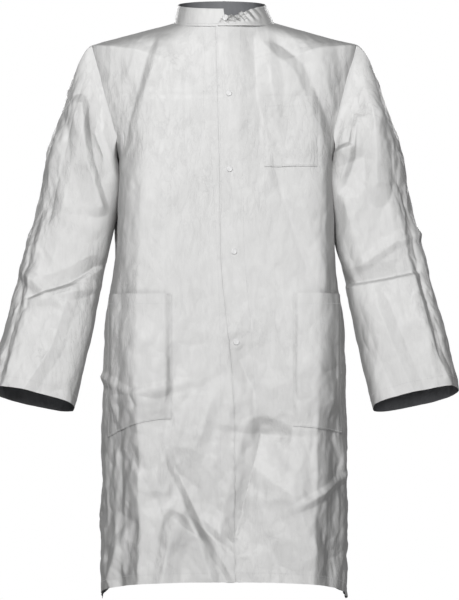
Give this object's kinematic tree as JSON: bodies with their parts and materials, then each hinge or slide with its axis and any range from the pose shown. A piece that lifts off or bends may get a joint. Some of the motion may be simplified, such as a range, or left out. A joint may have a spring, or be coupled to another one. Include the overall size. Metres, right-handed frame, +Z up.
{
  "type": "lab coat",
  "caption": "Knee-length lab coat in thin white nonwoven cloth: stand collar, press-snap front, patch pockets on chest and hips, straight hemmed sleeves.",
  "frame": {"origin": "on the coat's centre plane at back hem height, under the shoulder line", "axes": "+Z up, the front faces -Y, +X is the wearer's left"},
  "size_m": [0.8146, 0.3282, 1.076],
  "materials": {
    "coat_cloth": "thin white nonwoven film-like cloth, slightly glossy, crumpled",
    "snap_plastic": "white moulded plastic",
    "label_cloth": "white satin ribbon, blank"
  },
  "bodies": {
    "torso": {"back_panel": "coat_cloth", "left_front_side": "coat_cloth", "right_front_side": "coat_cloth", "collar_back": "coat_cloth", "chest_pocket": "coat_cloth", "left_pocket": "coat_cloth", "right_pocket": "coat_cloth", "neck_label": "label_cloth"},
    "left_front": {"left_front_flap": "coat_cloth", "left_facing": "coat_cloth", "collar_left_front": "coat_cloth", "snap_caps": "snap_plastic", "snap_sockets": "snap_plastic"},
    "right_front": {"right_front_flap": "coat_cloth", "right_facing": "coat_cloth", "collar_right_front": "coat_cloth", "snap_studs": "snap_plastic", "snap_posts": "snap_plastic"},
    "left_upper_sleeve": {"left_sleeve_upper": "coat_cloth"},
    "left_lower_sleeve": {"left_sleeve_lower": "coat_cloth"},
    "right_upper_sleeve": {"right_sleeve_upper": "coat_cloth"},
    "right_lower_sleeve": {"right_sleeve_lower": "coat_cloth"},
    "hanger_loop": {"hanger_loop": "coat_cloth"}
  },
  "joints": [
    {"name": "left_front_open", "type": "hinge", "parent": "torso", "child": "left_front", "pos_m": [0.097, -0.1545, 0], "axis": [-0.0411, 0.0718, 0.9966], "range_deg": [0, 120]},
    {"name": "right_front_open", "type": "hinge", "parent": "torso", "child": "right_front", "pos_m": [-0.06, -0.1585, 0], "axis": [-0.0201, -0.0809, -0.9965], "range_deg": [0, 72]},
    {"name": "left_sleeve_raise", "type": "hinge", "parent": "torso", "child": "left_upper_sleeve", "pos_m": [0.2335, 0, 0.987], "axis": [0, -1, 0], "range_deg": [0, 70]},
    {"name": "right_sleeve_raise", "type": "hinge", "parent": "torso", "child": "right_upper_sleeve", "pos_m": [-0.2335, 0, 0.987], "axis": [0, 1, 0], "range_deg": [0, 70]},
    {"name": "left_elbow_bend", "type": "hinge", "parent": "left_upper_sleeve", "child": "left_lower_sleeve", "pos_m": [0.284, -0.036, 0.6], "axis": [-0.9767, 0, -0.2147], "range_deg": [0, 60]},
    {"name": "right_elbow_bend", "type": "hinge", "parent": "right_upper_sleeve", "child": "right_lower_sleeve", "pos_m": [-0.284, -0.036, 0.6], "axis": [-0.9767, 0, 0.2147], "range_deg": [0, 60]},
    {"name": "hanger_loop_flip", "type": "hinge", "parent": "torso", "child": "hanger_loop", "pos_m": [0, 0.0675, 1.0395], "axis": [-1, 0, 0], "range_deg": [0, 150], "stiffness_Nm_per_rad": 0.002}
  ],
  "couplings": [
    {"joint": "right_front_open", "follows": "left_front_open", "ratio": 0.6}
  ]
}
